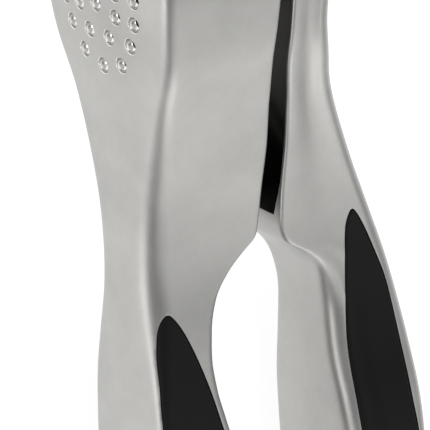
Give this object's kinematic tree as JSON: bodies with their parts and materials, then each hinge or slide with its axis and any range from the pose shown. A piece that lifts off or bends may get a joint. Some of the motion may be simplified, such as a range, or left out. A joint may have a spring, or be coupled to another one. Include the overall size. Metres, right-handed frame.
{
  "type": "garlic press",
  "caption": "Hinged garlic press with a perforated hopper on one handle, a swinging plunger on the other and soft grip inlays in both",
  "frame": {"origin": "middle of the bounding box, on the surface that the press lies on", "axes": "+Z along the hinge pin, +Y along the handles towards the hinge end, +X from the hopper's perforated face towards the lever"},
  "size_m": [0.0645, 0.181, 0.0368],
  "materials": {
    "cast_metal": "satin die-cast metal with fine brushed cloudiness",
    "pin_steel": "turned stainless steel",
    "grip_elastomer": "matte soft-touch black",
    "grip_carrier": "moulded black ABS",
    "washer_nylon": "natural nylon"
  },
  "bodies": {
    "hopper_side": {"hopper_handle": "cast_metal", "hopper_grip_upper": "grip_elastomer", "hopper_grip_lower": "grip_elastomer", "hopper_grip_carrier_upper": "grip_carrier", "hopper_grip_carrier_lower": "grip_carrier", "hinge_pin": "pin_steel", "hinge_pin_collar": "pin_steel", "hinge_washer_upper": "washer_nylon", "hinge_washer_lower": "washer_nylon"},
    "lever_side": {"lever_handle": "cast_metal", "lever_grip_upper": "grip_elastomer", "lever_grip_lower": "grip_elastomer", "lever_grip_carrier_upper": "grip_carrier", "lever_grip_carrier_lower": "grip_carrier", "plunger_pin": "pin_steel"},
    "plunger": {"plunger": "cast_metal"}
  },
  "joints": [
    {"name": "lever_hinge", "type": "hinge", "parent": "hopper_side", "child": "lever_side", "pos_m": [-0.0041, 0.0815, 0.0184], "axis": [0, 0, 1], "range_deg": [-2.6, 75]},
    {"name": "plunger_pivot", "type": "hinge", "parent": "lever_side", "child": "plunger", "pos_m": [-0.0011, 0.0575, 0.0184], "axis": [0, 0, 1], "range_deg": [-34, 1.3]}
  ],
  "couplings": [
    {"joint": "plunger_pivot", "follows": "lever_hinge", "ratio": -0.45}
  ]
}
